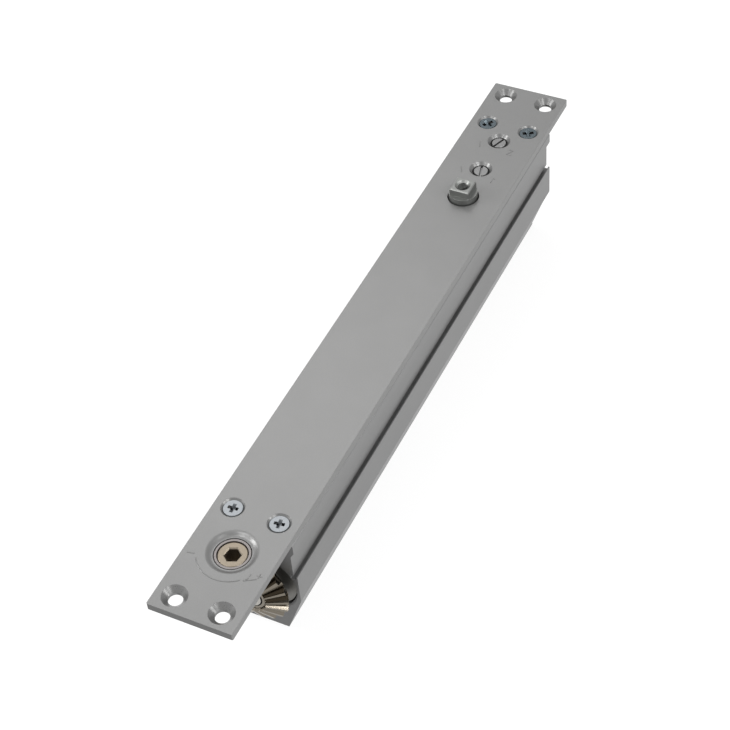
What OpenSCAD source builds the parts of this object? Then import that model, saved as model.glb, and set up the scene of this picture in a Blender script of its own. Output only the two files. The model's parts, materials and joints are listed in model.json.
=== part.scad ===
// Concealed door closer for the top of a door leaf, sizes in millimetres.
// Origin: centre of the four fixing holes, on the outer face of the cover plate.
// X runs along the plate towards the spindle end, Y across it, Z out of the door edge.

/* [Cover plate] */
// Length of the cover plate
plate_len = 291; // [286:1:300]
// Width of the cover plate and of the widest part of the body
plate_w = 32; // [31.6:0.1:34]
// Thickness of the cover plate
plate_t = 3; // [2.5:0.1:3.5]
// Radius of the plate's corners
plate_corner_r = 0.5; // [0.4:0.1:2]
// Distance from an end of the plate to its fixing holes
fix_in = 6.3; // [5.5:0.1:7.5]
// Distance between the two fixing holes of a pair, across the plate
fix_pitch_y = 17.6; // [16:0.1:19]
// Diameter of a fixing hole
fix_hole_d = 5.2; // [4.5:0.1:5.6]
// Diameter of a fixing hole's countersink at the outer face
fix_csk_d = 9.2; // [8.4:0.1:10]

/* [Body] */
// Distance from the plate's near end to the body's near end face
near_overhang = 41.3; // [40.5:0.1:43.5]
// Distance from the plate's far end to the body's far end face
far_overhang = 19.2; // [17.5:0.1:20.5]
// Height of the flange that meets the plate
flange_h = 4.7; // [3.5:0.1:6]
// Bevel of the body's upper edges, under the plate
flange_bevel = 0.8; // [0.2:0.1:1]
// How far the waist is set in from the flange, on each side
waist_inset = 1.4; // [0.8:0.1:1.5]
// Height of the slope from the flange in to the waist
waist_slope = 2.4; // [1:0.1:3]
// Depth of the waist's lower edge below the outer face
waist_depth = 20.3; // [19.5:0.1:20.4]
// Depth of the side slot's floor below the outer face
slot_depth = 22.2; // [21.9:0.1:22.4]
// How far the side slot reaches in from the side
slot_in = 2.6; // [1.8:0.1:2.6]
// Thickness of the slot's outer lip
slot_lip = 0.5; // [0.3:0.1:0.8]
// Height of the slot's mouth in the side
slot_mouth = 0.7; // [0.6:0.1:1.2]
// Depth of the straight side's lower edge
side_depth = 34.5; // [33:0.5:36]
// Depth of the keel's flat bottom, which is the closer's whole depth
keel_depth = 53; // [51.5:0.5:56]
// Width of the keel's flat bottom
keel_w = 18.6; // [17:0.2:22]
// Distance from the far end face to the end of the keel's sloping sides
keel_back = 8; // [7:0.5:22]
// Distance from the far end face to the end of the keel's bottom
rib_back = 2.8; // [1:0.1:6]
// Depth of the far end's round part, beside the keel's bottom
tail_depth = 45.5; // [45:0.5:47]
// Width of the far end's round part, at its bottom
tail_w = 22; // [20:0.5:24]
// Depth of the cylinder's axis below the outer face
axis_depth = 29.5; // [29:0.1:30]
// Radius of the cylinder bore
bore_r = 13.5; // [13.2:0.1:13.6]
// Radius of the end counterbores that take the plugs
end_bore_r = 14.5; // [14.3:0.1:14.7]
// Length of the near end's counterbore
near_bore_len = 11.5; // [10:0.5:14]
// Length of the far end's counterbore
far_bore_len = 6; // [5:0.5:8]

/* [Spindle and cam] */
// Distance from the plate's far end to the spindle's axis
spindle_in = 70.8; // [69.5:0.1:72.5]
// Radius of the spindle's journals
spindle_r = 5.75; // [5.7:0.05:5.9]
// Height of the spindle's round shoulder above the plate
shoulder_h = 2.5; // [2:0.1:4]
// Width across the flats of the spindle's square
square_w = 8; // [7:0.1:8.1]
// Height of the square above the shoulder
square_h = 3.2; // [3:0.1:6]
// Radius of the tapped hole in the spindle's top
tapped_r = 2.1; // [1.6:0.1:2.6]
// Depth of the tapped hole
tapped_len = 12; // [8:1:14]
// Diameter of the tapped hole's countersink
tapped_csk_d = 6.2; // [5.6:0.1:7]
// Bevel round the top of the square
square_bevel = 0.4; // [0.2:0.1:0.6]
// Thickness of the heart cam
cam_t = 8; // [7:0.5:8.5]
// Radius at which the spring roller's centre rests in the cam's notch
cam_low = 9.5; // [9.3:0.1:9.8]
// Rise of the cam from its notch to its tip
cam_rise = 8; // [6.5:0.1:8]
// Door opening that the closer works over, in degrees
opening_deg = 120; // [90:5:120]
// Radius of a cam roller
roller_r = 5; // [4.9:0.1:5.2]
// Radius of a cam roller's pin
pin_r = 2; // [1.6:0.1:2.2]
// Thickness of a link plate between the two pistons
link_t = 3.2; // [2.8:0.1:3.4]

/* [Pistons and spring] */
// Length of the spring piston's body
spring_piston_len = 26; // [24:0.5:30]
// Distance from the damper roller's centre to the damper piston's back face
damper_tail = 16; // [13:0.5:17]
// Radius of the spring wire
wire_r = 2.1; // [1.6:0.1:2.3]
// Mean radius of the main spring
coil_r = 10.3; // [9.8:0.1:10.8]
// Number of turns of the main spring
coil_turns = 14; // [10:1:18]
// Length of the spring nut
nut_len = 8; // [6:0.5:10]
// How far the spring nut travels when the force is set
nut_travel = 12; // [8:1:14]
// Radius of the adjusting screw's threaded length
screw_r = 4; // [3.5:0.1:4.5]

/* [Bevel gear pair] */
// Distance from the plate's near end to the adjuster's axis
adjuster_in = 29.4; // [29:0.1:30]
// Size of a tooth at its large end, as diameter for each tooth
gear_module = 1.58; // [1.56:0.01:1.6]
// Number of teeth on the bevel gear
gear_teeth = 18; // [18:1:18]
// Number of teeth on the pinion
pinion_teeth = 9; // [9:1:9]
// Length of a tooth, from its large end towards the small end
tooth_len = 8; // [6:0.5:8]
// Pressure angle of the teeth, in degrees
pressure = 25; // [24:1:26]
// Play between two meshing teeth, at the pitch circle
tooth_play = 0.3; // [0.25:0.01:0.4]
// Radius of the pinion's journal, which ends in the hex face
journal_r = 5.4; // [4.8:0.1:5.5]
// Width across the flats of the hex socket
hex_af = 5; // [4:0.5:5]
// Depth of the hex socket
hex_depth = 6; // [4:0.5:7]
// How far the hex face lies below the outer face
hex_sink = 1.9; // [1.6:0.1:2.2]
// Radius of the bush's collar in the plate
collar_r = 6.6; // [6.3:0.1:7]
// Radius of the pressed dish round the collar
dish_r = 9.4; // [8.8:0.1:10]
// Depth of the pressed dish
dish_depth = 1.1; // [0.8:0.1:1.3]
// Width of the dish's sloping wall
dish_slope = 2.6; // [1.5:0.1:2.7]
// Radius of the gear's shaft
shaft_r = 5.4; // [4.8:0.1:5.5]

/* [Valves and screws] */
// Distance from the plate's far end to the closing speed valve
closing_in = 53.2; // [52.5:0.1:54]
// Distance from the plate's far end to the latching speed valve
latching_in = 34.6; // [33.5:0.1:36]
// Radius of a valve screw's head
valve_r = 3.3; // [3:0.1:3.5]
// How far a valve screw's head lies below the outer face
valve_sink = 2.4; // [1.4:0.1:2.8]
// Bevel round a valve screw's head
valve_bevel = 0.35; // [0.1:0.05:0.5]
// Diameter of a valve's countersink at the outer face
valve_csk_d = 9.3; // [8.4:0.1:9.6]
// Angle of the closing valve's slot to the plate's length
closing_slot_deg = 14; // [-90:1:90]
// Angle of the latching valve's slot to the plate's length
latching_slot_deg = -21; // [-90:1:90]
// Distance from the plate's near end to the near pair of plate screws
near_screw_in = 46.2; // [45.5:0.1:46.6]
// Distance from the plate's far end to the far pair of plate screws
far_screw_in = 25.2; // [24.5:0.1:26]
// Distance between the two plate screws of a pair
screw_pitch_y = 17.8; // [17:0.1:18.4]
// Diameter of a plate screw's head
head_d = 7.1; // [6.6:0.1:7.4]
// Diameter of a plate screw's countersink at the outer face
head_csk_d = 8.6; // [8:0.1:9]
// Diameter of a plate screw's thread
thread_d = 4; // [3.5:0.1:4.2]
// Length of a plate screw below the plate
thread_len = 7; // [5:0.5:8]

/* [Fits] */
// Radial play of a part that turns or slides
run_gap = 0.04; // [0.02:0.01:0.06]
// Radial play of a part that is pressed or screwed in
seat_gap = 0.02; // [0.01:0.01:0.03]
// Gap between faces that pass each other
face_gap = 0.3; // [0.2:0.05:0.4]

/* [Hidden] */
$fn = 64;
// Extra length of a cutting solid, so that it passes the face it cuts
cut = 1;

// Places along X, measured in from the plate's two ends
near_x = near_overhang - plate_len / 2;
far_x = plate_len / 2 - far_overhang;
fix_x = plate_len / 2 - fix_in;
spindle_x = plate_len / 2 - spindle_in;
closing_x = plate_len / 2 - closing_in;
latching_x = plate_len / 2 - latching_in;
near_screw_x = near_screw_in - plate_len / 2;
far_screw_x = plate_len / 2 - far_screw_in;
keel_end = far_x - keel_back;
bore_near_x = near_x + near_bore_len;
bore_far_x = far_x - far_bore_len;

// Cam and pistons
cam_rate = cam_rise / PI;
stroke = cam_rate * opening_deg * PI / 180;
cam_reach = cam_low + cam_rise - roller_r;
spring_pin_x = spindle_x - cam_low;
damper_pin_x = spindle_x + cam_low + cam_rise;
pin_wall = 1;
pin_edge = pin_r + pin_wall;
link_end = 6;
roller_side_gap = 0.1;
link_z = cam_t / 2 + 0.25;
link_w = 17.6;
piston_r = bore_r - run_gap;
piston_front = spring_pin_x + pin_edge;
piston_back = piston_front - spring_piston_len;
spigot_r = coil_r - wire_r - face_gap;
spigot_len = 8;
damper_back = damper_pin_x + damper_tail;
seal_w = 2.4;
seal_back = 2.2;
seal_deep = 1.5;
pin_len = 21;
ball_r = 2;
oil_way_r = 1.2;
cage_len = 3;

// Bevel gear pair, whose pitch cones meet at the apex
apex_x = adjuster_in - plate_len / 2;
gear_r = gear_module * gear_teeth / 2;
pinion_r = gear_module * pinion_teeth / 2;
gear_cone = atan(gear_teeth / pinion_teeth);
pinion_cone = 90 - gear_cone;
cone_dist = sqrt(gear_r * gear_r + pinion_r * pinion_r);
shift = 0.35;
addendum = 0.8;
dedendum = 1.1;
flank_steps = 5;
small_end = (cone_dist - tooth_len) / cone_dist;

// Depth of the gear's tooth roots and of its back face, along X from the apex
gear_root_ax = pinion_r + gear_module * (dedendum + shift) * sin(gear_cone);
gear_disc = 1.6;
gear_back_ax = gear_root_ax + gear_disc;
gear_back_x = apex_x + gear_back_ax;
gear_rim_r = gear_r - gear_module * (dedendum + shift) * cos(gear_cone) - 0.2;
hub_proud = 0.45;
gear_front_ax = gear_root_ax * small_end - hub_proud;
gear_hub_r = 6.4;
shaft_proud = 0.2;

// Near plug, thrust washer, adjusting screw and nut, from the end inwards
plug_sink = 1.5;
plug_in_x = bore_near_x - face_gap;
plug_out_x = near_x + plug_sink;
plug_boss_r = 8;
plug_boss_x = gear_back_x + face_gap;
seal_r = 0.9;
washer_t = 1.5;
washer_r = 9;
collar_t = 3;
thrust_r = 8;
collar_x = plug_in_x + washer_t + run_gap;
nut_x = collar_x + collar_t + 2;
nut_r = bore_r - 0.1;
screw_end_x = nut_x + nut_len + nut_travel + 3;
key_w = 3;
key_h = 0.9;
key_spare = 6;

// Pinion and its bush
bush_top = -(dish_depth + 0.4);
pinion_back_z = -axis_depth + gear_r + gear_module * (dedendum - shift) * sin(pinion_cone);
pinion_neck_r = pinion_r - gear_module * (dedendum - shift) - 0.5;
gear_top_z = -axis_depth + gear_r + gear_module * (addendum - shift) * cos(gear_cone);
shoulder_z = gear_top_z + face_gap;
thrust_z = shoulder_z + 0.6;
bush_bottom = thrust_z + face_gap;
bush_flange_r = 9;
bush_flange_t = 1.5;
bush_barrel_r = 7.6;
snap_z = -8;
snap_r = 0.6;
edge_bevel = 0.25;
dish_steps = 8;
hex_turn = -7.6;

// Spindle supports
cap_r = cam_reach + 0.35;
cap_dip = 0.5;
cap_bottom = -(axis_depth - bore_r + cap_dip);
bearing_r = 8.5;
bearing_h = 6;
seal_h = 3;
cap_top = -plate_t - 0.1;
spindle_hole_r = spindle_r + 0.5;
lower_top = -(axis_depth + bore_r);
lower_h = 7;
lower_r = 8;
lip_h = 1;

// Key holes in the far plug's face
key_hole_y = 8;
key_hole_r = 1.6;
key_hole_h = 3;
far_plug_sink = 1;

// Valves
valve_shank_len = 8;
valve_needle_r = 1.5;
valve_needle_len = 4;
valve_tip_len = 1.5;
valve_seal_in = 4;
valve_seal_z = -(plate_t + valve_seal_in);
slot_w = 1;
slot_h = 1;
port_r = 1.2;

// Plate screws
recess_arm = 3.6;
recess_w = 1;
recess_h = 1.3;
head_sink = (head_csk_d - head_d) / 2;

// The body's outline from the plate down, on one side: the flange, the waist, the slot and the side
function side_points() = let(h = plate_w / 2) [
    [0, -plate_t], [h - flange_bevel, -plate_t], [h, -plate_t - flange_bevel],
    [h, -plate_t - flange_h],
    [h - waist_inset, -plate_t - flange_h - waist_slope],
    [h - waist_inset, -waist_depth], [h - slot_in, -waist_depth],
    [h - slot_in, -slot_depth], [h - slot_lip, -slot_depth],
    [h - slot_lip, -waist_depth - slot_mouth], [h, -waist_depth - slot_mouth],
    [h, -side_depth]];

// One half of the section, down to a flat bottom of the given width and depth
module half_section(bottom_w, bottom) {
    polygon(concat(side_points(), [[bottom_w / 2, -bottom], [0, -bottom]]));
}

// A length of the body between two places along X
module body_bar(x0, x1, bottom_w, bottom) {
    translate([x0, 0, 0]) rotate([90, 0, 90]) linear_extrude(x1 - x0) {
        half_section(bottom_w, bottom);
        mirror([1, 0]) half_section(bottom_w, bottom);
    }
}

// A cylinder on the bore's axis between two places along X
module on_axis(x0, x1, r) {
    translate([x0, 0, -axis_depth]) rotate([0, 90, 0]) cylinder(h = x1 - x0, r = r);
}

// A cylinder along Z between two heights
module upright(x, y, z0, z1, r) {
    translate([x, y, z0]) cylinder(h = z1 - z0, r = r);
}

// A countersink of 90 degrees from the outer face down to a hole
module countersink(x, y, top_d, hole_d) {
    depth = (top_d - hole_d) / 2;
    upright(x, y, -depth - plate_t - cut, cut, hole_d / 2);
    translate([x, y, -depth]) cylinder(h = depth, d1 = hole_d, d2 = top_d);
    translate([x, y, 0]) cylinder(h = cut, d = top_d);
}

// A ring of round section about the bore's axis
module axis_ring(x, ring_r, section_r) {
    translate([x, 0, -axis_depth]) rotate([0, 90, 0])
        rotate_extrude() translate([ring_r, 0]) circle(section_r, $fn = 24);
}

// A ring of round section about an upright axis
module upright_ring(x, z, ring_r, section_r) {
    translate([x, 0, z]) rotate_extrude() translate([ring_r, 0]) circle(section_r, $fn = 24);
}

module cover_plate() {
    color([0.62, 0.62, 0.61]) difference() {
        plate_blank();
        for (x = [-1, 1], y = [-1, 1])
            countersink(x * fix_x, y * fix_pitch_y / 2, fix_csk_d, fix_hole_d);
        for (x = [near_screw_x, far_screw_x], y = [-1, 1])
            countersink(x, y * screw_pitch_y / 2, head_csk_d, thread_d + 0.4);
        for (x = [closing_x, latching_x])
            countersink(x, 0, valve_csk_d, 2 * valve_r + 0.4);
        upright(spindle_x, 0, -plate_t - cut, cut, spindle_hole_r);
        dish();
        upright(apex_x, 0, -plate_t - cut, cut, collar_r + seat_gap);
    }
}

// The pressed dish round the collar, whose wall falls in a soft S
module dish() {
    wall = [for (t = [0:dish_steps]) [dish_r - dish_slope * (1 - t / dish_steps),
            -dish_depth * (1 + cos(180 * t / dish_steps)) / 2]];
    translate([apex_x, 0, 0]) rotate_extrude()
        polygon(concat([[0, -dish_depth]], wall, [[dish_r, cut], [0, cut]]));
}

// The plate with its rounded corners, before it is drilled
module plate_blank() {
    corner_x = plate_len / 2 - plate_corner_r;
    corner_y = plate_w / 2 - plate_corner_r;
    translate([-plate_len / 2, -corner_y, -plate_t]) cube([plate_len, 2 * corner_y, plate_t]);
    translate([-corner_x, -plate_w / 2, -plate_t]) cube([2 * corner_x, plate_w, plate_t]);
    for (x = [-1, 1], y = [-1, 1])
        upright(x * corner_x, y * corner_y, -plate_t, 0, plate_corner_r);
}

module closer_body() {
    color([0.56, 0.56, 0.55]) difference() {
        union() {
            body_bar(near_x, keel_end, keel_w, keel_depth);
            body_bar(keel_end - cut, far_x, tail_w, tail_depth);
            translate([keel_end - cut, -keel_w / 2, -keel_depth])
                cube([keel_back + cut - rib_back, keel_w, keel_depth - tail_depth + cut]);
        }
        on_axis(near_x - cut, far_x + cut, bore_r);
        on_axis(near_x - cut, bore_near_x, end_bore_r);
        on_axis(bore_far_x, far_x + cut, end_bore_r);
        end_bevel(near_x, 1);
        end_bevel(far_x, -1);
        nut_keyway();
        upright(spindle_x, 0, -axis_depth, -plate_t + cut, cap_r + seat_gap);
        upright(spindle_x, 0, lower_top - lower_h - 0.2, -axis_depth, lower_r + seat_gap);
        for (x = [near_screw_x, far_screw_x], y = [-1, 1])
            upright(x, y * screw_pitch_y / 2, -plate_t - thread_len - 1, -plate_t + cut,
                    thread_d / 2 + seat_gap);
        for (x = [closing_x, latching_x]) valve_bore(x);
    }
}

// The bevelled rim of an end counterbore
module end_bevel(x, side) {
    bevel = 0.6;
    translate([x - side * 0.01, 0, -axis_depth]) rotate([0, side * 90, 0])
        cylinder(h = bevel, r1 = end_bore_r + bevel, r2 = end_bore_r);
}

// The groove along the bottom of the bore that keeps the spring nut from turning
module nut_keyway() {
    translate([bore_near_x - cut, -key_w / 2 - run_gap, -axis_depth - bore_r - key_h])
        cube([nut_len + nut_travel + collar_t + washer_t + key_spare, key_w + 2 * run_gap, bore_r]);
}

// The stepped hole for a valve screw, down to its port in the cylinder
module valve_bore(x) {
    step_z = -valve_sink - valve_shank_len;
    upright(x, 0, step_z, -plate_t + cut, valve_r + run_gap);
    upright(x, 0, step_z - valve_needle_len, step_z + cut, valve_needle_r + 0.1);
    upright(x, 0, -axis_depth, step_z, port_r);
}

module near_end_plug() {
    color([0.74, 0.74, 0.73]) difference() {
        union() {
            on_axis(plug_out_x, plug_in_x, end_bore_r - seat_gap);
            on_axis(plug_boss_x, plug_in_x, plug_boss_r);
        }
        on_axis(plug_boss_x - cut, plug_in_x + cut, shaft_r + run_gap);
        axis_ring((plug_out_x + plug_in_x) / 2, end_bore_r - seat_gap, seal_r + seat_gap);
    }
}

module near_plug_seal() {
    color([0.1, 0.1, 0.1]) intersection() {
        axis_ring((plug_out_x + plug_in_x) / 2, end_bore_r - seat_gap, seal_r);
        on_axis(plug_out_x, plug_in_x, end_bore_r);
    }
}

module far_end_plug() {
    color([0.74, 0.74, 0.73]) difference() {
        on_axis(bore_far_x + seat_gap, far_x - far_plug_sink, end_bore_r - seat_gap);
        axis_ring((bore_far_x + far_x - far_plug_sink) / 2, end_bore_r - seat_gap, seal_r + seat_gap);
        for (y = [-1, 1]) translate([far_x - far_plug_sink - key_hole_h, y * key_hole_y, -axis_depth])
            rotate([0, 90, 0]) cylinder(h = key_hole_h + cut, r = key_hole_r);
    }
}

module far_plug_seal() {
    color([0.1, 0.1, 0.1]) intersection() {
        axis_ring((bore_far_x + far_x - far_plug_sink) / 2, end_bore_r - seat_gap, seal_r);
        on_axis(bore_far_x, far_x, end_bore_r);
    }
}

module upper_bearing_cap() {
    color([0.6, 0.6, 0.6]) difference() {
        upright(spindle_x, 0, cap_bottom, cap_top, cap_r);
        upright(spindle_x, 0, cap_bottom - cut, cap_top + cut, spindle_hole_r);
        upright(spindle_x, 0, cap_bottom - cut, cap_bottom + bearing_h, bearing_r + seat_gap);
        upright(spindle_x, 0, cap_top - seal_h - 0.2, cap_top + cut, bearing_r + seat_gap);
        on_axis(spindle_x - cap_r - cut, spindle_x + cap_r + cut, bore_r);
    }
}

module upper_bearing() {
    color([0.8, 0.65, 0.35]) difference() {
        upright(spindle_x, 0, cap_bottom, cap_bottom + bearing_h, bearing_r);
        upright(spindle_x, 0, cap_bottom - cut, 0, spindle_r + run_gap);
        on_axis(spindle_x - cap_r, spindle_x + cap_r, bore_r);
    }
}

module spindle_seal() {
    color([0.12, 0.12, 0.12]) difference() {
        upright(spindle_x, 0, cap_top - seal_h, cap_top, bearing_r);
        upright(spindle_x, 0, cap_top - seal_h - cut, cap_top + cut, spindle_r + run_gap);
        translate([spindle_x, 0, cap_top - 1])
            cylinder(h = 1 + cut, r1 = spindle_r, r2 = spindle_r + 2);
    }
}

module lower_bearing() {
    color([0.8, 0.65, 0.35]) difference() {
        upright(spindle_x, 0, lower_top - lower_h, lower_top, lower_r);
        upright(spindle_x, 0, lower_top - lower_h + lip_h, lower_top + cut, spindle_r + run_gap);
        on_axis(spindle_x - cap_r, spindle_x + cap_r, bore_r);
    }
}

module adjuster_bush() {
    color([0.72, 0.72, 0.71]) difference() {
        union() {
            upright(apex_x, 0, -plate_t, bush_top - edge_bevel, collar_r);
            translate([apex_x, 0, bush_top - edge_bevel])
                cylinder(h = edge_bevel, r1 = collar_r, r2 = collar_r - edge_bevel);
            upright(apex_x, 0, -plate_t - bush_flange_t, -plate_t, bush_flange_r);
            upright(apex_x, 0, bush_bottom, -plate_t, bush_barrel_r);
        }
        upright(apex_x, 0, bush_bottom - cut, 0, journal_r + run_gap);
        upright_ring(apex_x, snap_z, journal_r, snap_r + seat_gap);
    }
}

// The wire ring that lies half in the journal and half in the bush
module adjuster_snap_ring() {
    color([0.3, 0.3, 0.32]) upright_ring(apex_x, snap_z, journal_r, snap_r);
}

module thrust_washer() {
    color([0.8, 0.65, 0.35]) difference() {
        on_axis(plug_in_x + 0.01, plug_in_x + washer_t, washer_r);
        on_axis(plug_in_x - cut, plug_in_x + washer_t + cut, shaft_r + 0.1);
    }
}

// A countersunk screw with a cross recess
module plate_screw(x, y) {
    cone_h = (head_d - thread_d) / 2;
    translate([x, y, 0]) difference() {
        union() {
            translate([0, 0, -head_sink - cone_h]) cylinder(h = cone_h, d1 = thread_d, d2 = head_d);
            upright(0, 0, -plate_t - thread_len, -head_sink - cone_h, thread_d / 2);
        }
        for (a = [0, 90]) rotate(a + 20) translate([-recess_arm / 2, -recess_w / 2, -head_sink - recess_h])
            cube([recess_arm, recess_w, recess_h + cut]);
    }
}

module plate_screws_near() {
    color([0.78, 0.82, 0.86])
        for (y = [-1, 1]) plate_screw(near_screw_x, y * screw_pitch_y / 2);
}

module plate_screws_far() {
    color([0.55, 0.62, 0.7])
        for (y = [-1, 1]) plate_screw(far_screw_x, y * screw_pitch_y / 2);
}

// The heart cam: its edge lies a roller's radius inside the path of the roller's centre,
// which moves out from the notch at a steady rate, on both sides alike
function path(a) = (cam_low + cam_rate * a * PI / 180) * [cos(a), sin(a)];
function path_turn(a) = atan(cam_rate / (cam_low + cam_rate * a * PI / 180));
function cam_edge(a) = path(a) - (roller_r + run_gap) * [cos(a - path_turn(a)), sin(a - path_turn(a))];
function notch_arc(t) = [cam_low, 0] + (roller_r + run_gap) * [cos(t), sin(t)];

module half_cam() {
    step = 3;
    first = 180 - path_turn(0);
    edge = [for (a = [0:step:180]) let(p = cam_edge(a)) if (p[1] > 0.02) p];
    polygon(concat([[0, 0], [cam_low - roller_r - run_gap, 0]],
                   [for (i = [1:3]) notch_arc(180 - i * (180 - first) / 4)],
                   edge, [[edge[len(edge) - 1][0], 0]]));
}

module cam_spindle() {
    low = -(axis_depth + cam_t / 2);
    color([0.7, 0.7, 0.68]) difference() {
        union() {
            translate([spindle_x, 0, low]) mirror([1, 0, 0]) linear_extrude(cam_t) {
                half_cam();
                mirror([0, 1]) half_cam();
            }
            upright(spindle_x, 0, lower_top - lower_h + lip_h + run_gap, low, spindle_r);
            upright(spindle_x, 0, low + cam_t, shoulder_h, spindle_r);
            translate([spindle_x - square_w / 2, -square_w / 2, shoulder_h])
                cube([square_w, square_w, square_h - square_bevel]);
            translate([spindle_x, 0, shoulder_h + square_h - square_bevel]) rotate(45)
                cylinder(h = square_bevel, r1 = square_w / sqrt(2),
                         r2 = (square_w - 2 * square_bevel) / sqrt(2), $fn = 4);
        }
        upright(spindle_x, 0, shoulder_h + square_h - tapped_len, shoulder_h + square_h + cut, tapped_r);
        translate([spindle_x, 0, shoulder_h + square_h - (tapped_csk_d / 2 - tapped_r)])
            cylinder(h = tapped_csk_d / 2 - tapped_r, r1 = tapped_r, d2 = tapped_csk_d);
    }
}

// The fork at a piston's front: room for the roller, the link plates and the swinging cam
module fork_cut(pin_x, front_x, side) {
    link_back = pin_x + side * (link_end + seat_gap);
    slot_back = pin_x + side * (roller_r + face_gap);
    mouth = front_x - side * cut;
    between(link_back, mouth, link_w + 2 * seat_gap, 2 * (link_z + link_t + seat_gap));
    between(slot_back, mouth, 2 * bore_r, 2 * link_z);
    upright(pin_x, 0, -axis_depth - pin_len / 2 - seat_gap, -axis_depth + pin_len / 2 + seat_gap,
            pin_r + seat_gap);
}

// A box on the bore's axis between two places along X
module between(x0, x1, w, h) {
    translate([min(x0, x1), -w / 2, -axis_depth - h / 2]) cube([abs(x1 - x0), w, h]);
}

module spring_piston() {
    color([0.5, 0.5, 0.52]) difference() {
        union() {
            on_axis(piston_back, piston_front, piston_r);
            on_axis(piston_back - spigot_len, piston_back, spigot_r);
        }
        fork_cut(spring_pin_x, piston_front, -1);
        on_axis(piston_back - spigot_len - cut, piston_back + 8, 3);
    }
}

module damper_piston() {
    front = damper_pin_x - pin_edge;
    color([0.5, 0.5, 0.52]) difference() {
        on_axis(front, damper_back, piston_r);
        fork_cut(damper_pin_x, front, 1);
        difference() {
            on_axis(damper_back - seal_back - seal_w, damper_back - seal_back, bore_r);
            on_axis(damper_back - seal_back - seal_w, damper_back - seal_back, bore_r - seal_deep);
        }
        on_axis(damper_pin_x, damper_back + cut, oil_way_r);
        on_axis(damper_back - cage_len - 2 * ball_r, damper_back + cut, ball_r + 0.2);
    }
}

// The ring in the damper piston's groove
module piston_seal() {
    color([0.15, 0.15, 0.15]) difference() {
        on_axis(damper_back - seal_back - seal_w + seat_gap, damper_back - seal_back - seat_gap,
                bore_r - run_gap / 2);
        on_axis(damper_back - seal_back - seal_w - cut, damper_back,
                bore_r - seal_deep + seat_gap);
    }
}

// The ball that lets oil pass one way through the damper piston
module check_valve_ball() {
    color([0.8, 0.8, 0.82])
        translate([damper_back - cage_len - ball_r - 0.1, 0, -axis_depth]) sphere(ball_r);
}

module check_valve_cage() {
    color([0.8, 0.65, 0.35]) difference() {
        on_axis(damper_back - cage_len, damper_back, ball_r + 0.2 - seat_gap);
        on_axis(damper_back - cage_len - cut, damper_back + cut, oil_way_r);
    }
}

// A plate that ties the two pistons together and passes the spindle in a long hole
module link_plate(side) {
    x0 = spring_pin_x - link_end;
    x1 = damper_pin_x + link_end;
    z = side > 0 ? -axis_depth + link_z : -axis_depth - link_z - link_t;
    hole_r = spindle_r + face_gap;
    color([0.55, 0.56, 0.58]) difference() {
        translate([x0, -link_w / 2, z]) cube([x1 - x0, link_w, link_t]);
        upright(spindle_x, 0, z - cut, z + link_t + cut, hole_r);
        upright(spindle_x + stroke, 0, z - cut, z + link_t + cut, hole_r);
        translate([spindle_x, -hole_r, z - cut]) cube([stroke, 2 * hole_r, link_t + 2 * cut]);
        for (x = [spring_pin_x, damper_pin_x])
            upright(x, 0, z - cut, z + link_t + cut, pin_r + seat_gap);
    }
}

module upper_link_plate() { link_plate(1); }
module lower_link_plate() { link_plate(-1); }

module roller_pins() {
    color([0.75, 0.75, 0.76]) for (x = [spring_pin_x, damper_pin_x])
        upright(x, 0, -axis_depth - pin_len / 2, -axis_depth + pin_len / 2, pin_r);
}

module cam_roller(x) {
    half = cam_t / 2 - roller_side_gap;
    color([0.66, 0.66, 0.68]) difference() {
        upright(x, 0, -axis_depth - half, -axis_depth + half, roller_r);
        upright(x, 0, -axis_depth - half - cut, -axis_depth + half + cut, pin_r + run_gap);
    }
}

module spring_roller() { cam_roller(spring_pin_x); }
module damper_roller() { cam_roller(damper_pin_x); }

// Straight bevel teeth. A tooth's flank is an involute on the back cone, spread over its
// true angle, and every edge runs from the large end towards the apex of the pitch cones.
function involute(a) = tan(a) * 180 / PI - a;
function half_tooth(rho, back_r, s) = let(base = back_r * cos(pressure))
    s / back_r * 180 / PI + involute(pressure) - involute(rho > base ? acos(base / rho) : 0);

function flank(pitch_r, cone, tooth_shift) = let(
    back_r = pitch_r / cos(cone),
    s = gear_module * (PI / 4 + tooth_shift * tan(pressure)) - tooth_play / 4,
    low = -gear_module * (dedendum - tooth_shift),
    high = gear_module * (addendum + tooth_shift))
    [for (i = [0:flank_steps]) let(h = low + (high - low) * i / flank_steps)
        [h, half_tooth(back_r + h, back_r, s) / cos(cone)]];

function tooth_loop(teeth, pitch_r, cone, tooth_shift) = let(
    f = flank(pitch_r, cone, tooth_shift), n = len(f) - 1)
    [for (t = [0:teeth - 1]) each concat(
        [for (i = [0:n]) [f[i][0], t * 360 / teeth - f[i][1]]],
        [for (i = [n:-1:0]) [f[i][0], t * 360 / teeth + f[i][1]]])];

module bevel_teeth(teeth, pitch_r, cone, tooth_shift) {
    loop = tooth_loop(teeth, pitch_r, cone, tooth_shift);
    n = len(loop);
    each_tooth = n / teeth;
    ax = pitch_r / tan(cone);
    large = [for (p = loop) let(r = pitch_r + p[0] * cos(cone))
        [r * cos(p[1]), r * sin(p[1]), ax - p[0] * sin(cone)]];
    // The heel of a tooth runs across from flank to flank, and the roots share one flat face
    heel = [for (t = [0:teeth - 1], i = [0:flank_steps - 1]) let(a = t * each_tooth, b = a + each_tooth - 1)
        [a + i, b - i, b - i - 1, a + i + 1]];
    roots = [for (t = [teeth - 1:-1:0]) each [(t + 1) * each_tooth - 1, t * each_tooth]];
    polyhedron(points = concat(large, small_end * large), faces = concat(
        [for (i = [0:n - 1]) [i, (i + 1) % n, n + (i + 1) % n, n + i]],
        heel, [roots], [for (f = heel) n_turned(f, n)], [n_turned(roots, n)]));
}

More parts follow.
